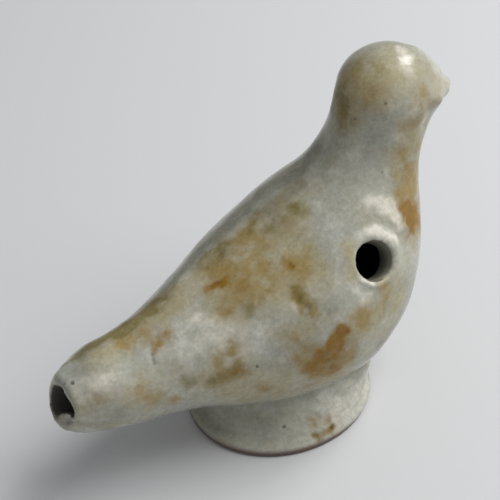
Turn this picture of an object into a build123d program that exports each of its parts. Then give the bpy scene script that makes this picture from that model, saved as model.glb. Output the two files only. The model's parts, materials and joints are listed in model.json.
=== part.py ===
from build123d import *
import os
from math import acos, atan2, cos, degrees, hypot, radians, sin, sqrt, tan

os.makedirs("parts", exist_ok=True)

# Millimetres and degrees. The bird faces +X, its right flank is -Y and +Z is up.
# The origin is the middle of the foot's standing ring, on the surface that it stands on.

# The two axes that carry the form, and the bend that joins them
TAIL_RISE = 1.6
NECK_LEAN = 63.5
CROSSING_X = 14.0
CROSSING_Z = 21.8
TAIL_REACH = 59.0
NECK_REACH = 39.8
BEND_RADIUS = 36.0
BEND_STEPS = 5
WAIST_TO_HEAD = 7.7

# Radii of the round sections of tail, belly, neck and head
TAIL_END_RADIUS = 5.9
TAIL_MIDDLE_RADIUS = 8.9
TAIL_ROOT_RADIUS = 11.9
BELLY_RADIUS = 19.9
NECK_BASE_RADIUS = 11.7
NECK_WAIST_RADIUS = 9.2
HEAD_RADIUS = 10.0

# How much the body tapers from the belly, section by section, to the rump and to the shoulder
BACK_TAPER = 1.3
RUMP_TAPER = 2.7
BREAST_TAPER = 1.0
SHOULDER_TAPER = 3.0

# How far the middle of a section lies above or below the spine
TAIL_END_RISE = 0.9
BACK_DROP = 1.4
BELLY_DROP = 2.4
BREAST_DROP = 1.9
SHOULDER_DROP = 0.6

# Where the clay pieces are luted together
TAIL_TUBE_LENGTH = 26.0
NECK_COLLAR_LENGTH = 10.0
SEAM_HEIGHT = 22.5

# The clay wall around the sounding chamber
WALL = 5.0

# Mouth, windway and sounding edge in the tail
BORE_RADIUS = 3.4
TAIL_LIP = 1.6
TAIL_END_TILT = 12.0
SOCKET_DEPTH = 6.5
WINDWAY_LENGTH = 8.0
WINDWAY_HEIGHT = 1.4
WINDOW_LENGTH = 4.6
WINDOW_WIDTH = 6.0
EDGE_SLOPE = 50.0

# Finger hole in the right flank
HOLE_RADIUS = 3.9
HOLE_RISE = 26.5
HOLE_SWING = 3.5
HOLE_SOFTENING = 0.7

# Beak
BEAK_REACH = 15.5
BEAK_DROOP = 15.0
BEAK_ROOT_RADIUS = 7.8
BEAK_TIP_RADIUS = 1.3

# Foot: a flared ring whose top sits farther forward than its base
FOOT_RADIUS = 18.3
FOOT_TOP_RADIUS = 14.2
FOOT_HEIGHT = 10.5
FOOT_FORWARD = 6.0
FOOT_WALL = 4.5
FOOT_LIP_HEIGHT = 2.0
FOOT_LIP_DEPTH = 0.5
FOOT_SOFTENING = 0.6

# The spine: a straight tail axis, the bend and a straight neck axis
tail_end = (
    CROSSING_X - TAIL_REACH * cos(radians(TAIL_RISE)),
    CROSSING_Z + TAIL_REACH * sin(radians(TAIL_RISE)),
)
head_middle = (
    CROSSING_X + NECK_REACH * cos(radians(NECK_LEAN)),
    CROSSING_Z + NECK_REACH * sin(radians(NECK_LEAN)),
)
with BuildLine(Plane.XZ) as spine:
    FilletPolyline(tail_end, (CROSSING_X, CROSSING_Z), head_middle, radius=BEND_RADIUS)
spine_wire = spine.wire()

turn = radians(NECK_LEAN + TAIL_RISE)
bend_start = TAIL_REACH - BEND_RADIUS * tan(turn / 2)
bend_length = BEND_RADIUS * turn
bend_end = bend_start + bend_length
spine_length = spine_wire.length
bend_step = bend_length / BEND_STEPS

# Distances of the sections along the spine, from the tail's end
tail_middle_at = TAIL_TUBE_LENGTH / 2
back_at = bend_start + bend_step
belly_at = back_at + bend_step
breast_at = belly_at + bend_step
shoulder_at = breast_at + bend_step
neck_waist_at = spine_length - WAIST_TO_HEAD
neck_joint_at = neck_waist_at - NECK_COLLAR_LENGTH
edge_at = SOCKET_DEPTH + WINDWAY_LENGTH + WINDOW_LENGTH


def across(distance):
    """The plane across the spine at a distance along it, with its y axis upward."""
    return Plane(
        origin=spine_wire.position_at(distance, position_mode=PositionMode.LENGTH),
        x_dir=(0, 1, 0),
        z_dir=spine_wire.tangent_at(distance, position_mode=PositionMode.LENGTH),
    )


back_radius = BELLY_RADIUS - BACK_TAPER
rump_radius = back_radius - RUMP_TAPER
breast_radius = BELLY_RADIUS - BREAST_TAPER
shoulder_radius = breast_radius - SHOULDER_TAPER

tail_side = Plane(origin=across(0).origin, x_dir=across(0).z_dir, z_dir=(0, -1, 0))
end_slope = radians(TAIL_RISE + TAIL_END_TILT)
tail_end_plane = Plane(
    origin=tail_side.from_local_coords((0, TAIL_END_RISE)),
    x_dir=(0, 1, 0),
    z_dir=(cos(end_slope), 0, -sin(end_slope)),
)
lip_side = Plane(origin=tail_end_plane.origin, x_dir=tail_end_plane.z_dir, z_dir=(0, -1, 0))
neck_side = Plane(origin=spine_wire @ 1, x_dir=spine_wire % 1, z_dir=(0, -1, 0))

sections = [
    (tail_middle_at, TAIL_MIDDLE_RADIUS, 0),
    (TAIL_TUBE_LENGTH, TAIL_ROOT_RADIUS, 0),
    (bend_start, rump_radius, 0),
    (back_at, back_radius, BACK_DROP),
    (belly_at, BELLY_RADIUS, BELLY_DROP),
    (breast_at, breast_radius, BREAST_DROP),
    (shoulder_at, shoulder_radius, SHOULDER_DROP),
    (bend_end, NECK_BASE_RADIUS, 0),
    (neck_waist_at, NECK_WAIST_RADIUS, 0),
    (spine_length, HEAD_RADIUS, 0),
]

# Outer form of the whole bird, without beak and foot
with BuildPart() as form:
    with BuildSketch(tail_end_plane.offset(TAIL_LIP)):
        Circle(TAIL_END_RADIUS)
    for distance, radius, drop in sections:
        with BuildSketch(across(distance)):
            with Locations((0, -drop)):
                Circle(radius)
    loft()
    with BuildSketch(lip_side):
        with BuildLine():
            Polyline((TAIL_LIP, TAIL_END_RADIUS), (TAIL_LIP, 0), (0, 0), (0, TAIL_END_RADIUS - TAIL_LIP))
            CenterArc((TAIL_LIP, TAIL_END_RADIUS - TAIL_LIP), TAIL_LIP, 90, 90)
        make_face()
    revolve(axis=Axis(lip_side.origin, lip_side.x_dir))
    with BuildSketch(neck_side):
        with BuildLine():
            Polyline((0, HEAD_RADIUS), (0, 0), (HEAD_RADIUS, 0))
            CenterArc((0, 0), HEAD_RADIUS, 0, 90)
        make_face()
    revolve(axis=Axis(neck_side.origin, neck_side.x_dir))

# Sounding chamber: the outer form less the wall, from the sounding edge to the head
with BuildPart() as chamber:
    with BuildSketch(across(edge_at)):
        Circle(BORE_RADIUS)
    for distance, radius, drop in sections[1:-1]:
        with BuildSketch(across(distance)):
            with Locations((0, -drop)):
                Circle(radius - WALL)
    loft()

tail_joint = across(TAIL_TUBE_LENGTH)
neck_joint = across(neck_joint_at)
head_joint = across(neck_waist_at)
seam = Plane(origin=(0, 0, SEAM_HEIGHT))

# Tail tube: mouth socket, bore, and the window with its sounding edge underneath
window_start = SOCKET_DEPTH + WINDWAY_LENGTH
window_top = -sqrt(BORE_RADIUS**2 - (WINDOW_WIDTH / 2) ** 2)
window_drop = 2 * TAIL_ROOT_RADIUS
with BuildPart() as tail_tube:
    add(form.part)
    split(bisect_by=tail_joint, keep=Keep.BOTTOM)
    add(chamber.part, mode=Mode.SUBTRACT)
    with BuildSketch(across(0).offset(-TAIL_END_RADIUS)):
        Circle(BORE_RADIUS)
    extrude(amount=TAIL_END_RADIUS + edge_at, mode=Mode.SUBTRACT)
    with BuildSketch(tail_side):
        with BuildLine():
            Polyline(
                (window_start, window_top),
                (edge_at, window_top),
                (edge_at + window_drop / tan(radians(EDGE_SLOPE)), window_top - window_drop),
                (window_start, window_top - window_drop),
                close=True,
            )
        make_face()
    extrude(amount=WINDOW_WIDTH / 2, both=True, mode=Mode.SUBTRACT)
tail_tube.part.label = "tail_tube"
export_step(tail_tube.part, "parts/tail_tube.step")

# Windway block: a plug in the bore that leaves a low slit along its floor
with BuildPart() as windway_block:
    with BuildSketch(across(SOCKET_DEPTH)):
        Circle(BORE_RADIUS)
        with Locations((0, -BORE_RADIUS)):
            Rectangle(2 * BORE_RADIUS, 2 * WINDWAY_HEIGHT, mode=Mode.SUBTRACT)
    extrude(amount=WINDWAY_LENGTH)
windway_block.part.label = "windway_block"
export_step(windway_block.part, "parts/windway_block.step")

# Lower bowl of the body
with BuildPart() as lower_bowl:
    add(form.part)
    split(bisect_by=tail_joint, keep=Keep.TOP)
    split(bisect_by=neck_joint, keep=Keep.BOTTOM)
    split(bisect_by=seam, keep=Keep.BOTTOM)
    add(chamber.part, mode=Mode.SUBTRACT)
lower_bowl.part.label = "lower_bowl"
export_step(lower_bowl.part, "parts/lower_bowl.step")

# Upper bowl of the body with the finger hole
hole_origin = across(breast_at).from_local_coords((0, -BREAST_DROP))
hole_axis = Vector(
    cos(radians(HOLE_RISE)) * sin(radians(HOLE_SWING)),
    -cos(radians(HOLE_RISE)) * cos(radians(HOLE_SWING)),
    sin(radians(HOLE_RISE)),
)
with BuildPart() as upper_bowl:
    add(form.part)
    split(bisect_by=tail_joint, keep=Keep.TOP)
    split(bisect_by=neck_joint, keep=Keep.BOTTOM)
    split(bisect_by=seam, keep=Keep.TOP)
    add(chamber.part, mode=Mode.SUBTRACT)
    before = upper_bowl.edges()
    with BuildSketch(Plane(origin=hole_origin, z_dir=hole_axis)):
        Circle(HOLE_RADIUS)
    extrude(amount=2 * BELLY_RADIUS, mode=Mode.SUBTRACT)
    rims = [edge for edge in upper_bowl.edges() - before if edge.is_closed]
    outer_rim = max(rims, key=lambda edge: edge.center().dot(hole_axis))
    fillet(outer_rim, radius=HOLE_SOFTENING)
upper_bowl.part.label = "upper_bowl"
export_step(upper_bowl.part, "parts/upper_bowl.step")

# Neck collar, open at both ends
with BuildPart() as neck_collar:
    add(form.part)
    split(bisect_by=neck_joint, keep=Keep.TOP)
    split(bisect_by=head_joint, keep=Keep.BOTTOM)
    add(chamber.part, mode=Mode.SUBTRACT)
neck_collar.part.label = "neck_collar"
export_step(neck_collar.part, "parts/neck_collar.step")

# Head: a solid ball that closes the chamber
with BuildPart() as head:
    add(form.part)
    split(bisect_by=head_joint, keep=Keep.TOP)
head.part.label = "head"
export_step(head.part, "parts/head.step")

# Beak: a pinched cone with a round tip, pressed against the head
beak_side = Plane(
    origin=spine_wire @ 1,
    x_dir=(cos(radians(BEAK_DROOP)), 0, -sin(radians(BEAK_DROOP))),
    z_dir=(0, -1, 0),
)
beak_root = sqrt(HEAD_RADIUS**2 - BEAK_ROOT_RADIUS**2) - BEAK_TIP_RADIUS
tip_middle = BEAK_REACH - BEAK_TIP_RADIUS
slant = hypot(beak_root - tip_middle, BEAK_ROOT_RADIUS)
tip_turn = atan2(BEAK_ROOT_RADIUS, beak_root - tip_middle) - acos(BEAK_TIP_RADIUS / slant)
with BuildPart() as beak:
    with BuildSketch(beak_side):
        with BuildLine():
            flank_end = (
                tip_middle + BEAK_TIP_RADIUS * cos(tip_turn),
                BEAK_TIP_RADIUS * sin(tip_turn),
            )
            Polyline((beak_root, 0), (beak_root, BEAK_ROOT_RADIUS), flank_end)
            CenterArc((tip_middle, 0), BEAK_TIP_RADIUS, 0, degrees(tip_turn))
            Line((BEAK_REACH, 0), (beak_root, 0))
        make_face()
    revolve(axis=Axis(beak_side.origin, beak_side.x_dir))
    add(form.part, mode=Mode.SUBTRACT)
beak.part.label = "beak"
export_step(beak.part, "parts/beak.step")

# Foot ring, hollow underneath, its top shaped to the belly
foot_top = Plane(origin=(FOOT_FORWARD, 0, FOOT_HEIGHT))
with BuildPart() as foot_ring:
    with BuildSketch():
        Circle(FOOT_RADIUS - FOOT_LIP_DEPTH)
    with BuildSketch(foot_top):
        Circle(FOOT_TOP_RADIUS)
    loft()
    with BuildSketch():
        Circle(FOOT_RADIUS)
    extrude(amount=FOOT_LIP_HEIGHT)
    fillet(foot_ring.edges().filter_by(GeomType.CIRCLE).group_by(Axis.Z)[0], radius=FOOT_SOFTENING)
    with BuildSketch():
        Circle(FOOT_RADIUS - FOOT_WALL)
    with BuildSketch(foot_top):
        Circle(FOOT_TOP_RADIUS - FOOT_WALL)
    loft(mode=Mode.SUBTRACT)
    add(form.part, mode=Mode.SUBTRACT)
foot_ring.part.label = "foot_ring"
export_step(foot_ring.part, "parts/foot_ring.step")
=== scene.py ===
"""Looks of a hand-built, glazed stoneware bird call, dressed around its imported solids."""

import json
import logging
import math
from dataclasses import dataclass, field
from enum import Enum

import bpy
import numpy as np
from mathutils import Matrix, Vector, noise
from mathutils.bvhtree import BVHTree


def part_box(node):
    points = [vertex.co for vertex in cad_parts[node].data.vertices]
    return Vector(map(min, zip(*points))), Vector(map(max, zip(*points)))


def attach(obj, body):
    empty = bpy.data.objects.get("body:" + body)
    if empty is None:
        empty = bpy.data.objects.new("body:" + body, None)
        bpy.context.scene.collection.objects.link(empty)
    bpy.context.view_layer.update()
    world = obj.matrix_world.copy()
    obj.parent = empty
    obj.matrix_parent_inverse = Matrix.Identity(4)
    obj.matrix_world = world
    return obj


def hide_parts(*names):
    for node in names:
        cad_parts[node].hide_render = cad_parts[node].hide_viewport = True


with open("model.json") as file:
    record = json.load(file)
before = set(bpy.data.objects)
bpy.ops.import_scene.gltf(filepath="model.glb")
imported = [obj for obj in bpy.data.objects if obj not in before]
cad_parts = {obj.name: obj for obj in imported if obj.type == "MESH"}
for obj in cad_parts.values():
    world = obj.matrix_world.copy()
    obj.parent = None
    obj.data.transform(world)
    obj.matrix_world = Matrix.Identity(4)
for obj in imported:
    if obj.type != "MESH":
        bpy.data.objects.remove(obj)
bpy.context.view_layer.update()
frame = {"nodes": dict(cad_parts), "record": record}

log = logging.getLogger("bird_call")

MM = 0.001
IMAGE_SIDE = 500
BODY = "root"

# Names of attributes on the pieces
WHOLE_NORMAL = "whole_normal"
# Bare clay at the tail's end; at the foot's standing edge, bare clay darkened as painted contact shadow
BARE_AND_SHADE = "bare_and_shade"
# Painted shade inside the hollows: the mouth, the bore and the finger hole's wall
HOLLOW_SHADE = "hollow_shade"

# Sockets of the node that eases a value, in the order in which they are filled
RANGE_SOCKETS = ("From Min", "From Max", "To Min", "To Max")

# How meshes are merged, weighted, smoothed and cut
MERGE_GAP = 0.005 * MM
WEIGHT_STEPS = 20
SMOOTHING = 0.5
CUT_GAP = 1e-7
CAP_GAP = 1e-6
CAP_FACING = -0.99

# Least values that anything is divided by
LEAST_SQUARE = 1e-12
LEAST_GAP = 1e-9
LEAST_NORMAL = 1e-6

# What counts as a flat end of a solid
END_FACING = 0.97
END_DEPTH = 6 * MM
END_FLATNESS = 0.9995

Colour = tuple[float, float, float]
Pixel = tuple[float, float]
# Where something eases in: 0 at the first value and 1 at the second
Span = tuple[float, float]


def shader_colour(colour: Colour) -> tuple[float, float, float, float]:
    """Turns a colour in sRGB bytes into the linear one that shaders use.

    Args:
        colour: Red, green and blue from 0 to 255.

    Returns:
        Linear red, green, blue and an alpha of 1.
    """
    shares = [channel / 255 for channel in colour]
    return tuple(s / 12.92 if s <= 0.04045 else ((s + 0.055) / 1.055) ** 2.4 for s in shares) + (1.0,)


def smooth_step(low: float, high: float, values: np.ndarray) -> np.ndarray:
    """Eases values from 0 at low to 1 at high, in either direction."""
    share = np.clip((values - low) / (high - low), 0, 1)
    return share * share * (3 - 2 * share)


def pick(*objects: bpy.types.Object) -> None:
    """Leaves edit mode and selects only these objects.

    Args:
        *objects: The objects, the first of which becomes the active one.
    """
    if bpy.context.mode != "OBJECT":
        bpy.ops.object.mode_set(mode="OBJECT")
    bpy.ops.object.select_all(action="DESELECT")
    for item in objects:
        item.select_set(True)
    bpy.context.view_layer.objects.active = objects[0]


def edit_all(item: bpy.types.Object) -> None:
    """Opens an object in edit mode with its whole mesh selected.

    Args:
        item: The object.
    """
    pick(item)
    bpy.ops.object.mode_set(mode="EDIT")
    bpy.ops.mesh.select_all(action="SELECT")


def new_object(name: str, data: bpy.types.ID) -> bpy.types.Object:
    """Puts a new object with this data into the scene.

    Args:
        name: Name of the object.
        data: Its mesh, lamp or camera.

    Returns:
        The object, at the origin.
    """
    item = bpy.data.objects.new(name, data)
    bpy.context.scene.collection.objects.link(item)
    return item


def node_copy(node: str, name: str) -> bpy.types.Object:
    """Copies a CAD node into a new object whose loose triangles are merged.

    Args:
        node: Name of the CAD node.
        name: Name of the new object.

    Returns:
        The new object, at the origin.
    """
    item = new_object(name, frame["nodes"][node].data.copy())
    item.data.materials.clear()
    edit_all(item)
    bpy.ops.mesh.customdata_custom_splitnormals_clear()
    bpy.ops.mesh.remove_doubles(threshold=MERGE_GAP)
    bpy.ops.object.mode_set(mode="OBJECT")
    return item


def apply_modifier(item: bpy.types.Object, kind: str, **settings: object) -> None:
    """Adds a modifier to an object, sets it and applies it.

    Args:
        item: The object.
        kind: Blender's name of the modifier's type.
        **settings: Values of the modifier's properties.
    """
    pick(item)
    modifier = item.modifiers.new(kind.lower(), kind)
    for key, value in settings.items():
        setattr(modifier, key, value)
    bpy.ops.object.modifier_apply(modifier=modifier.name)


def press_unevenly(item: bpy.types.Object, name: str, size: float, depth: float, group: str = "") -> None:
    """Makes a surface uneven, as hands leave it, with a cloudy displacement along its normals.

    Args:
        item: The object.
        name: Name of the unevenness.
        size: Size of its lumps in metres.
        depth: Height from hollow to lump in metres.
        group: Vertex group that limits it, if any.
    """
    texture = bpy.data.textures.new(name, "CLOUDS")
    texture.noise_scale = size
    texture.noise_depth = 1
    settings = {"texture": texture, "texture_coords": "LOCAL", "mid_level": 0.5}
    apply_modifier(item, "DISPLACE", strength=depth, vertex_group=group, **settings)


def places_and_normals(item: bpy.types.Object) -> tuple[np.ndarray, np.ndarray]:
    """Reads the places and normals of an object's vertices.

    Args:
        item: The object.

    Returns:
        Places and normals, one row for each vertex.
    """
    count = len(item.data.vertices)
    places = np.empty(count * 3, np.float32)
    normals = np.empty(count * 3, np.float32)
    item.data.vertices.foreach_get("co", places)
    item.data.vertex_normals.foreach_get("vector", normals)
    return places.reshape(-1, 3).astype(float), normals.reshape(-1, 3).astype(float)


def set_places(item: bpy.types.Object, places: np.ndarray) -> None:
    """Moves an object's vertices to new places."""
    item.data.vertices.foreach_set("co", places.astype(np.float32).ravel())
    item.data.update()


def weigh(item: bpy.types.Object, name: str, weights: np.ndarray) -> None:
    """Gives an object a vertex group with these weights, in even steps.

    Args:
        item: The object.
        name: Name of the group.
        weights: One weight from 0 to 1 for each vertex.
    """
    group = item.vertex_groups.new(name=name)
    steps = np.round(weights * WEIGHT_STEPS).astype(int)
    for step in range(1, WEIGHT_STEPS + 1):
        members = np.nonzero(steps == step)[0]
        if len(members):
            group.add(members.tolist(), step / WEIGHT_STEPS, "REPLACE")


def paint(item: bpy.types.Object, name: str, values: np.ndarray) -> None:
    """Stores one value for each vertex as a named attribute that materials read."""
    layer = item.data.attributes.get(name) or item.data.attributes.new(name, "FLOAT", "POINT")
    layer.data.foreach_set("value", values.astype(np.float32))


def away_from_run(places: np.ndarray, start: Vector, end: Vector) -> np.ndarray:
    """Measures how far places lie from the straight run between two points.

    Args:
        places: The places, one row each.
        start: Where the run starts.
        end: Where it ends, which may be the same point.

    Returns:
        The distances in metres.
    """
    first = np.array(start)
    run = np.array(end) - first
    length = max(float(run @ run), LEAST_SQUARE)
    share = np.clip((places - first) @ run / length, 0, 1)
    return np.linalg.norm(places - first - share[:, None] * run, axis=1)


def joined_surface(*items: bpy.types.Object) -> BVHTree:
    """Gathers several objects' faces into one surface that rays can meet.

    Args:
        *items: The objects.

    Returns:
        The surface.
    """
    corners: list[Vector] = []
    faces: list[list[int]] = []
    for item in items:
        first = len(corners)
        corners.extend(vertex.co.copy() for vertex in item.data.vertices)
        faces.extend([first + index for index in face.vertices] for face in item.data.polygons)
    return BVHTree.FromPolygons(corners, faces)


def opening_box(name: str) -> tuple[Vector, Vector]:
    """Reads the box that the record keeps free for an opening.

    Args:
        name: Name of the opening.

    Returns:
        The box's low and high corners.
    """
    opening = next(item for item in frame["record"]["physics"]["openings"] if item["name"] == name)
    low, high = opening["box_m"]
    return Vector(low), Vector(high)


@dataclass
class Joint:
    """A flat joint between two clay pieces: a point on it and its direction."""

    point: Vector
    direction: Vector

    def turned(self) -> "Joint":
        """Gives the same joint, facing the other way."""
        return Joint(self.point, -self.direction)


def flat_end(node: str, toward: Vector) -> Joint:
    """Finds a CAD node's flat end that faces a direction.

    Args:
        node: Name of the CAD node.
        toward: Rough direction that the end faces.

    Returns:
        The end's middle and its outward direction.
    """
    toward = toward.normalized()
    faces = [face for face in frame["nodes"][node].data.polygons if face.normal.dot(toward) > END_FACING]
    farthest = max(face.center.dot(toward) for face in faces)
    end = [face for face in faces if face.center.dot(toward) > farthest - END_DEPTH]
    normal = sum((face.normal * face.area for face in end), Vector()).normalized()
    flat = [face for face in end if face.normal.dot(normal) > END_FLATNESS]
    middle = sum((face.center * face.area for face in flat), Vector()) / sum(face.area for face in flat)
    log.info("flat end of %s: %d faces", node, len(flat))
    return Joint(middle, normal)


@dataclass(frozen=True)
class PhotoView:
    """The camera's place: it looks at the standing foot from the bird's right, behind and above."""

    azimuth: float = -27.0
    elevation: float = 39.0
    roll: float = 9.0
    foot_pixel: Pixel = (279.0, 391.5)
    foot_distance: float = 380 * MM
    pixels_per_metre: float = 5 / MM
    sensor: float = 36.0
    near_clip: float = 10 * MM

    @property
    def back(self) -> Vector:
        """Direction from the object to the camera."""
        turn, rise = math.radians(self.azimuth), math.radians(self.elevation)
        return Vector((math.sin(turn) * math.cos(rise), -math.cos(turn) * math.cos(rise), math.sin(rise)))

    @property
    def right(self) -> Vector:
        """Direction to the right in the picture.

        Returns:
            The direction, of length 1.
        """
        turn, roll = math.radians(self.azimuth), math.radians(self.roll)
        level = Vector((math.cos(turn), math.sin(turn), 0))
        return level * math.cos(roll) - self.back.cross(level) * math.sin(roll)

    @property
    def up(self) -> Vector:
        """Upward direction in the picture."""
        return self.back.cross(self.right)

    @property
    def focal(self) -> float:
        """Focal length in pixels."""
        return self.pixels_per_metre * self.foot_distance

    @property
    def place(self) -> Vector:
        """The camera's place, from where the foot's middle stands in the picture.

        Returns:
            The place in the frame.
        """
        aside = (self.foot_pixel[0] - IMAGE_SIDE / 2) / self.pixels_per_metre
        down = (self.foot_pixel[1] - IMAGE_SIDE / 2) / self.pixels_per_metre
        return self.back * self.foot_distance - self.right * aside + self.up * down

    def ray(self, pixel: Pixel) -> Vector:
        """Finds the direction from the camera through a pixel of the picture.

        Args:
            pixel: The pixel, across and down.

        Returns:
            The direction, of length 1.
        """
        aside = (pixel[0] - IMAGE_SIDE / 2) / self.focal
        down = (pixel[1] - IMAGE_SIDE / 2) / self.focal
        return (self.right * aside - self.up * down - self.back).normalized()

    def seen(self, surface: BVHTree, pixel: Pixel, name: str) -> Vector:
        """Finds the place on the clay that a pixel of the picture shows.

        Args:
            surface: The clay's surface.
            pixel: The pixel.
            name: What lies there, for the message of an error.

        Returns:
            The place in the frame.

        Raises:
            ValueError: If the pixel shows no clay.
        """
        place, *_ = surface.ray_cast(self.place, self.ray(pixel))
        if place is None:
            raise ValueError(f"{name}: no clay at pixel {pixel}")
        return place

    def make_camera(self) -> None:
        """Makes the camera and hands it to the scene."""
        data = bpy.data.cameras.new("photo_camera")
        data.sensor_width = self.sensor
        data.lens = self.focal / IMAGE_SIDE * self.sensor
        data.clip_start = self.near_clip
        camera = new_object("photo_camera", data)
        turn = Matrix((self.right, self.up, self.back)).transposed().to_4x4()
        camera.matrix_world = Matrix.Translation(self.place) @ turn
        bpy.context.scene.camera = camera


class MarkKind(Enum):
    """What iron and glaze left on the surface, and the painted highlights and painted shade among them, each
    an attribute that the glaze reads.
    """

    STRAW = "straw"
    TAN = "tan"
    RUST = "rust"
    OLIVE = "olive"
    UMBER = "umber"
    # Pale glaze, and painted highlights where the glaze catches the light
    PALE = "pale_and_highlight"
    # Grey glaze, and painted shade along ridges and edges that face away from the light
    GREY = "grey"
    SPECK = "speck"


@dataclass(frozen=True)
class Trace:
    """Something on the clay, placed by the pixels where it starts and ends, with its reach in millimetres."""

    name: str
    start: Pixel
    reach: float
    strength: float = 1.0
    end: Pixel | None = None

    def gaps(self, view: PhotoView, surface: BVHTree, places: np.ndarray) -> np.ndarray:
        """Measures how far places lie from the trace.

        Args:
            view: The picture's camera.
            surface: The clay's surface.
            places: The places, one row each.

        Returns:
            The distances, in shares of the reach.
        """
        start = view.seen(surface, self.start, self.name)
        end = view.seen(surface, self.end, self.name) if self.end else start
        return away_from_run(places, start, end) / (self.reach * MM)


@dataclass(frozen=True)
class Mark(Trace):
    """A mark on the glaze with a share as its strength: a stain, a speck, a pale pool, a painted highlight,
    or painted shade.
    """


@dataclass(frozen=True)
class Press(Trace):
    """A dent of finger or tool, its strength a depth in millimetres, or a swelling where that is negative."""


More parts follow.
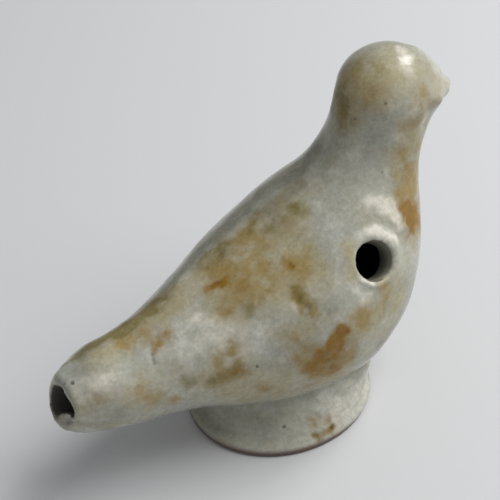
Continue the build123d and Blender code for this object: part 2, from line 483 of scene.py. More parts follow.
MARKS: dict[MarkKind, tuple[Mark, ...]] = {
    MarkKind.STRAW: (
        Mark("flank_straw", (226, 281), 8.5, 0.75, (292, 268)),
        Mark("back_straw", (248, 245), 6.5, 0.7, (286, 221)),
        Mark("flank_straw_low", (300, 300), 4.5, 0.4, (310, 284)),
        Mark("tail_straw", (76, 400), 6.0, 0.3, (160, 388)),
        Mark("tail_straw_top", (100, 352), 5.0, 0.7, (176, 296)),
        Mark("belly_straw", (230, 392), 6.0, 0.6, (345, 366)),
        Mark("belly_straw_rear", (208, 366), 5.0, 0.5, (232, 356)),
        Mark("breast_straw", (388, 288), 5.0, 0.6, (360, 330)),
        Mark("breast_straw_edge", (400, 300), 3.6, 0.7, (390, 325)),
        Mark("flank_straw_under", (286, 334), 4.0, 0.65, (308, 324)),
        Mark("hole_straw", (350, 246), 2.4, 0.6, (351, 276)),
        Mark("throat_straw", (410, 128), 5.5, 0.55, (408, 200)),
        Mark("head_straw", (346, 92), 8.0, 0.8, (384, 74)),
        Mark("face_straw", (422, 74), 5.5, 0.45, (420, 104)),
    ),
    MarkKind.TAN: (
        Mark("back_veil", (239, 241), 3.4, 0.8, (252, 236)),
        Mark("back_warm", (125, 335), 5.0, 0.4, (240, 232)),
        Mark("back_warm_top", (240, 232), 5.0, 0.35, (300, 190)),
        Mark("rump_tan", (226, 267), 4.2, 0.95, (238, 288)),
        Mark("rump_tan_back", (237, 251), 2.6, 0.8, (246, 258)),
        Mark("flank_tan_low", (222, 309), 3.2, 0.5, (234, 300)),
        Mark("flank_rust_veil", (287, 260), 2.6, 0.8, (303, 258)),
        Mark("flank_tan_spot", (270, 270), 3.0, 1.0),
        Mark("flank_tan_wide", (252, 290), 6.0, 0.6, (298, 277)),
        Mark("flank_tan_under", (241, 320), 2.2, 0.75),
        Mark("flank_tan_front", (334, 319), 2.6, 0.5),
        Mark("flank_tan_back", (240, 262), 6.0, 0.5, (278, 236)),
        Mark("flank_brown_veil", (296, 290), 2.4, 0.8, (312, 310)),
        Mark("hole_tan", (386, 290), 2.4, 0.65, (380, 312)),
        Mark("breast_tan", (366, 318), 3.6, 0.7, (352, 330)),
        Mark("breast_rust_veil", (316, 370), 3.6, 1.0, (340, 362)),
        Mark("breast_tan_edge", (352, 345), 3.0, 0.6, (345, 362)),
        Mark("breast_tan_low", (300, 362), 4.6, 0.8, (345, 345)),
        Mark("breast_spot", (296, 338), 1.8, 0.7),
        Mark("belly_tan", (232, 350), 2.6, 0.7, (220, 358)),
        Mark("belly_olive_veil", (217, 377), 3.2, 0.8, (237, 370)),
        Mark("belly_low", (245, 394), 5.0, 0.45, (345, 368)),
        Mark("front_tan", (399, 196), 2.6, 0.7, (412, 184)),
        Mark("front_tan_edge", (414, 172), 6.0, 0.85, (415, 218)),
        Mark("front_tan_up", (402, 155), 3.6, 0.9, (410, 180)),
        Mark("neck_front_tan", (420, 118), 3.4, 0.4, (406, 140)),
        Mark("neck_front_edge", (421, 117), 5.0, 0.65, (414, 160)),
        Mark("beak_tan", (432, 74), 3.0, 0.5, (426, 92)),
        Mark("beak_veil", (440, 80), 4.0, 0.45, (430, 100)),
        Mark("head_veil", (356, 66), 6.0, 0.5, (350, 104)),
        Mark("head_tan", (364, 84), 5.0, 0.45, (370, 104)),
        Mark("tail_streak_veil", (156, 346), 2.4, 0.6, (168, 334)),
        Mark("tail_spot", (128, 344), 3.2, 0.7, (140, 336)),
        Mark("tail_root_veil", (178, 374), 4.0, 0.4, (190, 392)),
        Mark("tail_veil", (90, 402), 5.0, 0.32, (150, 394)),
        Mark("tail_root_brown", (176, 399), 2.6, 0.55),
        Mark("tail_tan", (138, 391), 4.2, 0.52, (153, 400)),
        Mark("tail_end_tan", (99, 399), 2.2, 0.5),
        Mark("foot_tan", (314, 421), 1.7, 0.7, (328, 419)),
    ),
    MarkKind.RUST: (
        Mark("rump_rust", (208, 289), 1.4, 0.9, (224, 281)),
        Mark("rump_rust_veil", (224, 276), 3.2, 0.4, (238, 288)),
        Mark("flank_rust_low", (226, 310), 2.4, 0.4),
        Mark("flank_rust", (283, 259), 1.0, 0.6, (292, 264)),
        Mark("breast_rust_top", (342, 332), 1.8, 1.1, (331, 347)),
        Mark("breast_rust", (335, 350), 3.0, 0.95, (320, 366)),
        Mark("breast_rust_mid", (322, 353), 2.0, 0.9),
        Mark("breast_rust_low", (312, 367), 2.2, 0.8, (332, 370)),
        Mark("belly_rust", (233, 373), 0.9, 0.7, (237, 371)),
        Mark("belly_faint", (263, 390), 1.6, 0.45),
        Mark("front_rust", (407, 212), 2.5, 1.2, (413, 226)),
        Mark("front_rust_edge", (414, 212), 3.2, 0.8, (416, 222)),
        Mark("head_rust", (371, 102), 1.8, 0.25),
        Mark("tail_streak", (155, 348), 1.3, 0.5, (168, 335)),
        Mark("foot_rust", (314, 437), 0.9, 0.45, (331, 427)),
    ),
    MarkKind.OLIVE: (
        Mark("back_spot", (295, 208), 2.8, 0.65, (302, 206)),
        Mark("back_shade", (258, 218), 2.4, 0.55, (246, 232)),
        Mark("back_olive", (266, 227), 2.6, 0.55, (280, 222)),
        Mark("rump_brown", (209, 260), 2.8, 1.0, (221, 250)),
        Mark("flank_olive_low", (252, 312), 3.0, 0.5, (262, 306)),
        Mark("flank_brown", (299, 292), 1.7, 0.8, (311, 310)),
        Mark("belly_olive", (217, 379), 1.8, 0.8, (237, 371)),
        Mark("head_edge", (338, 80), 3.0, 0.5, (334, 108)),
        Mark("head_olive", (340, 92), 3.8, 0.65, (344, 117)),
        Mark("head_crown", (380, 72), 3.6, 0.4, (362, 62)),
        Mark("tail_ridge", (70, 360), 1.9, 0.9, (118, 334)),
        Mark("tail_ridge_wide", (118, 334), 3.0, 1.0, (160, 302)),
        Mark("tail_small_spot", (172, 361), 1.5, 0.6),
        Mark("tail_root_olive", (186, 382), 2.8, 0.45),
        Mark("foot_olive", (314, 437), 1.1, 0.75, (331, 427)),
    ),
    MarkKind.UMBER: (
        Mark("rump_core", (209, 288), 0.7, 0.5, (218, 284)),
        Mark("flank_core", (288, 262), 0.5, 0.7, (293, 264)),
        Mark("flank_brown_core", (302, 296), 0.9, 0.4, (311, 310)),
        Mark("breast_core", (339, 331), 1.0, 0.6, (345, 334)),
        Mark("breast_core_low", (326, 352), 1.8, 0.35, (334, 366)),
        Mark("tail_ridge_core", (122, 329), 1.8, 0.4, (160, 297)),
        Mark("foot_core", (328, 429), 0.6, 0.65, (332, 426)),
    ),
    # Pale glaze; the crown, the hole's rim, the breast, the tail and a flank spot carry painted highlights
    MarkKind.PALE: (
        Mark("crown_pale", (401, 50), 1.5, 0.8, (406, 68)),
        Mark("hole_pale_top", (365, 235), 1.0, 1.0, (372, 229)),
        Mark("hole_pale", (374, 229), 1.3, 1.2, (393, 242)),
        Mark("hole_pale_low", (362, 279), 0.8, 0.7, (374, 283)),
        Mark("breast_pale", (373, 201), 1.7, 1.2, (390, 206)),
        Mark("breast_pale_low", (392, 214), 1.3, 1.1, (400, 226)),
        # Lighter on the throat under the head and along the belly's underside
        Mark("throat_milk", (412, 112), 3.6, 0.4, (399, 132)),
        Mark("belly_milk", (212, 386), 5.0, 0.32, (302, 378)),
        Mark("low_flank_cream", (175, 350), 7.0, 0.5, (255, 333)),
        Mark("tail_cream", (84, 388), 3.6, 0.6, (106, 382)),
        Mark("tail_end_milk", (72, 417), 3.0, 0.45, (94, 413)),
        Mark("foot_cream", (332, 404), 6.5, 0.62, (364, 388)),
        Mark("flank_milk", (196, 322), 4.0, 0.6, (215, 330)),
        Mark("hole_milk", (338, 284), 3.4, 0.4, (352, 287)),
        Mark("flank_pale", (294, 304), 0.9, 0.8, (298, 309)),
        Mark("below_hole_pale", (357, 291), 1.8, 0.7, (368, 303)),
    ),
    # Painted shade along the tail's and back's ridges, the head's and nape's edges and the breast's edge; the
    # flank, cheek and mid-neck marks make the glaze greyer
    MarkKind.GREY: (
        Mark("tail_grey_end", (84, 352), 3.0, 0.6, (150, 304)),
        Mark("tail_grey_inner", (104, 355), 2.8, 0.45, (130, 350)),
        Mark("tail_grey", (150, 304), 3.4, 1.0, (200, 250)),
        Mark("back_grey_inner", (275, 206), 3.6, 0.7, (297, 186)),
        Mark("breast_grey", (401, 314), 2.5, 0.6, (380, 345)),
        Mark("flank_grey", (316, 302), 3.0, 0.55, (330, 308)),
        Mark("back_grey", (200, 250), 4.4, 1.0, (250, 203)),
        Mark("back_grey_top", (250, 203), 4.4, 1.0, (312, 152)),
        Mark("head_grey", (346, 74), 3.0, 0.8, (364, 53)),
        Mark("cheek_grey", (382, 76), 3.0, 0.4, (388, 96)),
        Mark("neck_grey", (340, 126), 5.4, 0.42, (312, 162)),
        Mark("neck_middle_grey", (378, 118), 2.6, 0.35, (366, 160)),
    ),
    MarkKind.SPECK: (
        # A dark line along the dent at the tail's root
        Mark("tail_crack", (152.5, 353), 0.5, 0.5, (154.5, 363)),
        Mark("foot_speck", (331.5, 427), 0.4, 0.6),
        Mark("foot_pit", (284, 427), 0.5, 0.7),
        Mark("tail_pit", (72.8, 382.6), 0.5, 1.0),
        Mark("tail_small_pit", (65, 384), 0.3, 0.6),
        Mark("belly_pit", (257, 366.6), 0.4, 0.8),
        Mark("tail_root_pit", (157, 328), 0.3, 0.6),
        Mark("head_pit", (385.6, 103.7), 0.5, 0.55),
        Mark("neck_pit", (382, 172), 0.4, 0.6),
        Mark("nape_pit", (355, 119), 0.4, 0.5),
    ),
}

PRESSES = (
    Press("tail_root_dent", (153, 353), 0.7, 0.2, (154, 362)),
    Press("breast_swelling", (378, 203), 2.0, -0.25, (392, 222)),
    Press("flank_swelling", (286, 309), 2.2, -0.2, (300, 303)),
    Press("forehead_swelling", (419, 53), 3.0, -0.75, (433, 68)),
    Press("beak_root_swelling", (436, 73), 1.8, -0.45, (435, 99)),
    Press("beak_under_swelling", (437, 100), 1.7, -0.75, (445, 90)),
    Press("throat_press", (431, 112), 2.2, 0.6, (428, 121)),
    Press("nape_swelling", (336, 94), 2.6, -0.5, (334, 108)),
    Press("crown_press", (341, 71), 4.0, 0.55, (361, 51)),
    Press("throat_swelling", (415, 150), 4.6, -0.4, (416, 222)),
    Press("tail_under_press", (74, 430), 4.2, 1.45, (106, 430)),
    Press("tail_shoulder_press", (76, 354), 2.8, 0.75, (92, 346)),
    Press("tail_end_swelling", (57, 413), 2.4, -0.6, (62, 423)),
    Press("tail_top_swelling", (104, 342), 4.0, -0.5, (126, 326)),
    Press("tail_corner_swelling", (60, 375), 2.2, -0.7, (65, 367)),
)


class NodeBench:
    """A new material's node tree, with short calls that add and join nodes."""

    def __init__(self, name: str) -> None:
        """Starts a material with an empty tree but for its shader and output.

        Args:
            name: Name of the material.
        """
        self.material = bpy.data.materials.new(name)
        self.material.use_nodes = True
        self.tree = self.material.node_tree
        self.shader = self.tree.nodes["Principled BSDF"]
        self.place = self.add("ShaderNodeTexCoord", {}).outputs["Object"]

    def feed(self, socket: bpy.types.NodeSocket, value: object) -> None:
        """Links an output to a socket, or writes a plain value on it.

        Args:
            socket: The socket.
            value: The output or the plain value.
        """
        if isinstance(value, bpy.types.NodeSocket):
            self.tree.links.new(value, socket)
        else:
            socket.default_value = value

    def add(self, kind: str, inputs: dict[str | int, object], **settings: object) -> bpy.types.Node:
        """Adds a node, sets its properties and feeds its sockets.

        Args:
            kind: Blender's name of the node's type.
            inputs: What feeds each named or numbered socket.
            **settings: Values of the node's properties.

        Returns:
            The node.
        """
        node = self.tree.nodes.new(kind)
        for key, value in settings.items():
            setattr(node, key, value)
        for name, value in inputs.items():
            self.feed(node.inputs[name], value)
        return node

    def noise(self, size: float, detail: float, rough: float = 0.5) -> bpy.types.NodeSocket:
        """Adds a noise whose lumps are about this size in metres."""
        inputs = {"Vector": self.place, "Scale": 1 / size, "Detail": detail, "Roughness": rough}
        return self.add("ShaderNodeTexNoise", inputs).outputs["Fac"]

    def axis(self, name: str) -> bpy.types.NodeSocket:
        """Reads one coordinate of the place on the piece."""
        return self.add("ShaderNodeSeparateXYZ", {"Vector": self.place}).outputs[name]

    def attribute(self, name: str) -> bpy.types.NodeSocket:
        """Reads a painted attribute of the piece."""
        return self.add("ShaderNodeAttribute", {}, attribute_name=name).outputs["Fac"]

    def math(self, operation: str, first: object, second: object) -> bpy.types.NodeSocket:
        """Adds a math node on two values."""
        return self.add("ShaderNodeMath", {0: first, 1: second}, operation=operation).outputs["Value"]

    def span(self, value: object, ease: Span, ends: Span = (0.0, 1.0)) -> bpy.types.NodeSocket:
        """Eases a value from the first end to the second, between two of its own values."""
        inputs = {"Value": value, **dict(zip(RANGE_SOCKETS, (*ease, *ends)))}
        return self.add("ShaderNodeMapRange", inputs, interpolation_type="SMOOTHSTEP").outputs["Result"]

    def mix(self, share: object, first: object, second: object, blend: str = "MIX") -> bpy.types.NodeSocket:
        """Mixes two colours by a share."""
        inputs = {"Factor": share, "A": first, "B": second}
        return self.add("ShaderNodeMix", inputs, data_type="RGBA", blend_type=blend).outputs["Result"]

    def shade(self, name: str, value: object) -> None:
        """Feeds one of the shader's own sockets."""
        self.feed(self.shader.inputs[name], value)

    def bump(self, height: object, strength: float, depth: float) -> None:
        """Feeds a bump to the shader's normal."""
        inputs = {"Height": height, "Strength": strength, "Distance": depth}
        self.shade("Normal", self.add("ShaderNodeBump", inputs).outputs["Normal"])


@dataclass(frozen=True)
class Mottle:
    """A cloudy noise in glaze or clay, eased between two of its values into a share."""

    size: float
    detail: float
    rough: float = 0.5
    ease: Span = (0.3, 0.7)
    ends: Span = (0.0, 1.0)

    def share(self, bench: NodeBench) -> bpy.types.NodeSocket:
        """Adds the noise to a material and eases it."""
        return bench.span(bench.noise(self.size, self.detail, self.rough), self.ease, self.ends)


@dataclass(frozen=True)
class Stain:
    """How one kind of mark colours the glaze: its tone, its ragged lumps and its most."""

    kind: MarkKind
    tone: Colour
    lumps: float
    ragged: float
    most: float
    detail: float = 3.5
    rough: float = 0.52
    edge: Span = (0.12, 0.95)

    def share(self, bench: NodeBench) -> bpy.types.NodeSocket:
        """Breaks the painted marks up into ragged lumps.

        Args:
            bench: The material's tree.

        Returns:
            The share of the stain's tone.
        """
        ends = (1 - self.ragged, 1 + self.ragged)
        lumps = Mottle(self.lumps, self.detail, self.rough, ends=ends).share(bench)
        broken = bench.math("MULTIPLY", bench.attribute(self.kind.value), lumps)
        return bench.math("MULTIPLY", bench.span(broken, self.edge), self.most)


@dataclass(frozen=True)
class GlazeFinish:
    """Grey-cream stoneware glaze, mottled where iron came through, thin and brown on edges, with painted
    shade along ridges, at the foot's edge and in the hollows, and painted highlights.
    """

    name: str = "mottled_glaze"
    cream: Colour = (181, 180, 165)
    grey: Colour = (156, 157, 147)
    straw: Colour = (166, 155, 118)
    milk: Colour = (206, 205, 194)
    tan: Colour = (150, 128, 77)
    rust: Colour = (138, 100, 24)
    # Bare clay, dark enough to be painted contact shadow along the foot's standing edge
    bare_and_shade: Colour = (112, 97, 88)
    # Painted shade: the dark tone inside the hollows, where little light reaches
    hollow_shade: Colour = (74, 72, 66)
    clouds: Mottle = Mottle(13 * MM, 4.0, ease=(0.35, 0.65))
    warmth: Mottle = Mottle(9 * MM, 5.0, 0.62, (0.45, 0.75), (0.0, 0.6))
    milkiness: Mottle = Mottle(5 * MM, 6.0, 0.6, (0.5, 0.72), (0.0, 0.45))
    far_side: Span = (-1 * MM, 9 * MM)
    far_tan: Mottle = Mottle(17 * MM, 5.0, 0.6, (0.5, 0.72), (0.0, 0.85))
    far_rust: Mottle = Mottle(17 * MM, 5.0, 0.6, (0.62, 0.78), (0.0, 0.8))
    stains: tuple[Stain, ...] = (
        # Grey glaze, and the tone of the painted shade along ridges and edges
        Stain(MarkKind.GREY, (119, 118, 104), 4.0 * MM, 0.3, 0.85),
        # Pale glaze, and the tone of the painted highlights
        Stain(MarkKind.PALE, (224, 220, 206), 3.0 * MM, 0.3, 0.9),
        Stain(MarkKind.STRAW, straw, 6.0 * MM, 0.25, 0.85),
        Stain(MarkKind.TAN, tan, 3.8 * MM, 0.5, 0.85),
        Stain(MarkKind.OLIVE, (118, 106, 58), 3.0 * MM, 0.45, 0.88),
        Stain(MarkKind.RUST, rust, 2.6 * MM, 0.45, 0.92),
        Stain(MarkKind.UMBER, (92, 60, 18), 1.4 * MM, 0.4, 0.85),
        Stain(MarkKind.SPECK, (62, 60, 54), 0.8 * MM, 0.2, 0.85),
    )
    grain: Mottle = Mottle(0.9 * MM, 4.0, 0.75, (0.25, 0.75), (0.83, 1.13))
    gloss: Mottle = Mottle(3 * MM, 3.0, ends=(0.1, 0.24))
    dullness: float = 0.8
    refraction: float = 1.36
    peel_size: float = 1.0 * MM
    peel_detail: float = 3.0
    peel_share: float = 0.45
    wave_size: float = 3.2 * MM
    wave_detail: float = 2.0
    relief_strength: float = 0.3
    relief_depth: float = 0.16 * MM

    def make(self) -> bpy.types.Material:
        """Builds the glaze's material.

        Returns:
            The material.
        """
        bench = NodeBench(self.name)
        colour = bench.mix(self.clouds.share(bench), shader_colour(self.cream), shader_colour(self.grey))
        colour = bench.mix(self.warmth.share(bench), colour, shader_colour(self.straw))
        colour = bench.mix(self.milkiness.share(bench), colour, shader_colour(self.milk))
        far = bench.span(bench.axis("Y"), self.far_side)
        for mottle, tone in ((self.far_tan, self.tan), (self.far_rust, self.rust)):
            colour = bench.mix(bench.math("MULTIPLY", far, mottle.share(bench)), colour, shader_colour(tone))
        for stain in self.stains:
            colour = bench.mix(stain.share(bench), colour, shader_colour(stain.tone))
        colour = bench.mix(1.0, colour, self.grain.share(bench), "MULTIPLY")
        bare_and_shade = bench.attribute(BARE_AND_SHADE)
        hollow_shade = bench.attribute(HOLLOW_SHADE)
        # Bare clay, with the painted contact shadow along the foot's edge
        colour = bench.mix(bare_and_shade, colour, shader_colour(self.bare_and_shade))
        # Painted shade inside the hollows
        bench.shade("Base Color", bench.mix(hollow_shade, colour, shader_colour(self.hollow_shade)))
        dull = bench.math("MULTIPLY", bench.math("MAXIMUM", bare_and_shade, hollow_shade), self.dullness)
        bench.shade("Roughness", bench.math("MAXIMUM", self.gloss.share(bench), dull))
        bench.shade("IOR", self.refraction)
        peel = bench.math("MULTIPLY", bench.noise(self.peel_size, self.peel_detail), self.peel_share)
        relief = bench.math("ADD", peel, bench.noise(self.wave_size, self.wave_detail))
        bench.bump(relief, self.relief_strength, self.relief_depth)
        return bench.material


@dataclass(frozen=True)
class BareClayFinish:
    """Unglazed fired clay inside the tail."""

    name: str = "bare_clay"
    light: Colour = (128, 114, 98)
    dark: Colour = (92, 82, 72)
    tones: Mottle = Mottle(1.5 * MM, 4.0, 0.65)
    roughness: float = 0.85
    grit_size: float = 0.5 * MM
    grit_detail: float = 3.0
    grit_rough: float = 0.7
    grit_strength: float = 0.5
    grit_depth: float = 0.15 * MM

    def make(self) -> bpy.types.Material:
        """Builds the bare clay's material.

        Returns:
            The material.
        """
        bench = NodeBench(self.name)
        colour = bench.mix(self.tones.share(bench), shader_colour(self.light), shader_colour(self.dark))
        bench.shade("Base Color", colour)
        bench.shade("Roughness", self.roughness)
        grit = bench.noise(self.grit_size, self.grit_detail, self.grit_rough)
        bench.bump(grit, self.grit_strength, self.grit_depth)
        return bench.material


@dataclass(frozen=True)
class FloorFinish:
    """One even, pale tone without gloss."""

    name: str = "pale_floor"
    colour: Colour = (212, 213, 214)
    roughness: float = 0.8

    def make(self) -> bpy.types.Material:
        """Builds the floor's material.

        Returns:
            The material.
        """
        bench = NodeBench(self.name)
        bench.shade("Base Color", shader_colour(self.colour))
        bench.shade("Roughness", self.roughness)
        return bench.material


@dataclass
class TailMouth:
    """The rough mouth in the tail's end, its rim in millimetres across and up from the bore's axis."""

    rim: tuple[tuple[float, float], ...] = (
        (3.3, 3.2),
        (0.2, 4.9),
        (-1.8, 4.0),
        (-3.4, 3.6),
        (-4.6, 2.2),
        (-4.4, 0.9),
        (-2.8, 0.4),
        (-0.9, -0.4),
        (1.4, -2.0),
        (3.1, -2.9),
        (4.1, -1.7),
        (4.3, 0.4),
    )
    plug_radius: float = 4.5 * MM
    plug_start: float = 0.5 * MM
    plug_end: float = 2.6 * MM
    plug_sides: int = 48
    depth: float = 5.0 * MM
    narrowing: float = 0.72
    toward: tuple[float, float, float] = (-1, 0, 0.25)

    def __post_init__(self) -> None:
        """Finds the tail's end and the bore's axis in the frame."""
        end = flat_end("tail_tube", Vector(self.toward))
        low, high = opening_box("mouth_socket")
        self.inward = -end.direction
        self.up = self.inward.cross(Vector((0, 1, 0))).normalized()
        if self.up.z < 0:
            self.up = -self.up
        lift = (low.z + high.z) / 2 - end.point.z
        self.middle = end.point + self.up * (lift / self.up.z)

    def plug(self) -> bpy.types.Object:
        """Makes the disc of clay that closes the bore near its end.

        Returns:
            The disc.
        """
        bpy.ops.object.select_all(action="DESELECT")
        bpy.ops.mesh.primitive_cylinder_add(
            vertices=self.plug_sides,
            radius=self.plug_radius,
            depth=self.plug_end - self.plug_start,
            location=self.middle + self.inward * ((self.plug_start + self.plug_end) / 2),
            rotation=self.inward.to_track_quat("Z", "Y").to_euler(),
        )
        bpy.ops.object.transform_apply(location=True, rotation=True, scale=True)
        return bpy.context.object

    def cutter(self) -> bpy.types.Object:
        """Makes the rough wedge that opens the mouth again.

        Returns:
            The wedge, straight outside the tail and narrowing inside it.
        """
        bpy.ops.object.select_all(action="DESELECT")
        bpy.ops.mesh.primitive_circle_add(vertices=len(self.rim), fill_type="NGON")
        wedge = bpy.context.object
        reach = self.inward * self.depth
        for vertex, (across, up) in zip(wedge.data.vertices, self.rim):
            vertex.co = self.middle - reach + Vector((0, across * MM, 0)) + self.up * (up * MM)
        edit_all(wedge)
        bpy.ops.mesh.extrude_region_move(TRANSFORM_OT_translate={"value": reach})
        bpy.ops.mesh.extrude_region_move(TRANSFORM_OT_translate={"value": reach})
        bpy.ops.transform.resize(value=(self.narrowing,) * 3, center_override=self.middle + reach)
        bpy.ops.mesh.select_all(action="SELECT")
        bpy.ops.mesh.normals_make_consistent(inside=False)
        bpy.ops.object.mode_set(mode="OBJECT")
        return wedge


@dataclass
class FingerHole:
    """The finger hole: its rim is rolled up and worn, and its wall narrows, sags and leans."""

    depth: float = 8 * MM
    core: float = 0.1 * MM
    rim_keep: float = 2.2 * MM
    roll: float = 0.7 * MM
    roll_reach: float = 1.3 * MM
    roll_gap: float = 0.3 * MM
    roll_least: float = 0.2
    roll_rise: float = 1.4
    roll_side: Span = (-0.2, 0.8)
    roll_facing: Span = (0.2, 0.6)
    roll_depth: float = 4 * MM
    wear: float = 0.12 * MM
    narrowing: float = 0.7 * MM
    sag: float = 0.55 * MM
    lean: float = 0.6 * MM
    lean_aside: float = 0.6
    wall: Span = (2.4 * MM, -1.4 * MM)
    wall_fade: Span = (2.5 * MM, 0.5 * MM)
    wall_depth: float = 9 * MM
    shadow: Span = (2.9 * MM, -0.6 * MM)
    shadow_most: float = 0.85
    shadow_gap: float = 0.6 * MM

    def __post_init__(self) -> None:
        """Reads the hole's place, axis and radius from the frame."""
        hole = next(mount for mount in frame["record"]["mounts"] if mount["name"] == "finger_hole")
        self.place = np.array(hole["pos_m"])
        self.axis = np.array(hole["axis"])
        self.radius = hole["dims"]["r_mm"] * MM

    def around(self, places: np.ndarray) -> tuple[np.ndarray, np.ndarray]:
        """Measures places across and along the hole's axis.

        Args:
            places: The places, one row each.

        Returns:
            The two distances, the second one outward.
        """
        away = places - self.place
        along = away @ self.axis
        return np.linalg.norm(away - along[:, None] * self.axis, axis=1), along

    def near_rim(self, places: np.ndarray) -> np.ndarray:
        """Finds how near places lie to the hole's wall and rim.

        Args:
            places: The places, one row each.

        Returns:
            Shares from 0 to 1.
        """
        across, along = self.around(places)
        near = smooth_step(self.rim_keep * 2, self.rim_keep, np.abs(across - self.radius))
        return near * (along > -self.depth)

    def shape(self, view: PhotoView, places: np.ndarray, normals: np.ndarray) -> np.ndarray:
        """Rolls the clay up around the hole and leans its wall, as the picture shows.

        Args:
            view: The picture's camera.
            places: Places of the skin's vertices.
            normals: Normals of the skin's vertices.

        Returns:
            The new places.
        """
        across, along = self.around(places)
        outside = smooth_step(*self.roll_facing, normals @ self.axis) * (along > -self.roll_depth)
        aside = places - self.place - along[:, None] * self.axis
        aside /= np.maximum(across, self.core)[:, None]
        ahead = np.array((view.right + view.up * self.roll_rise).normalized())
        rolled = self.roll_least + (1 - self.roll_least) * smooth_step(*self.roll_side, aside @ ahead)
        ring = np.exp(-(((across - self.radius - self.roll_gap) / self.roll_reach) ** 2))
        moved = places + normals * (ring * outside * rolled * self.roll)[:, None]
        near = smooth_step(self.radius + self.wall_fade[0], self.radius + self.wall_fade[1], across)
        near *= along > -self.wall_depth
        deep = smooth_step(*self.wall, along)
        leaning = np.array((view.right * self.lean_aside - view.up).normalized())
        moved += aside * (near * (self.wear - self.narrowing * deep))[:, None]
        moved -= np.array(view.up) * (near * self.sag)[:, None]
        moved += leaning * (near * deep * self.lean)[:, None]
        return moved

    def darken(self, places: np.ndarray, hollow_shade: np.ndarray) -> np.ndarray:
        """Replaces the painted shade of the hollows by a slower painted shade that darkens down the hole's
        wall.

        Args:
            places: The places, one row each.
            hollow_shade: How much painted shade each place gets in a hollow.

        Returns:
            The new amounts of painted shade, from 0 to 1.
        """
        across, along = self.around(places)
        inside = (across < self.radius + self.shadow_gap) & (along > -self.depth)
        return np.where(inside, self.shadow_most * smooth_step(*self.shadow, along), hollow_shade)


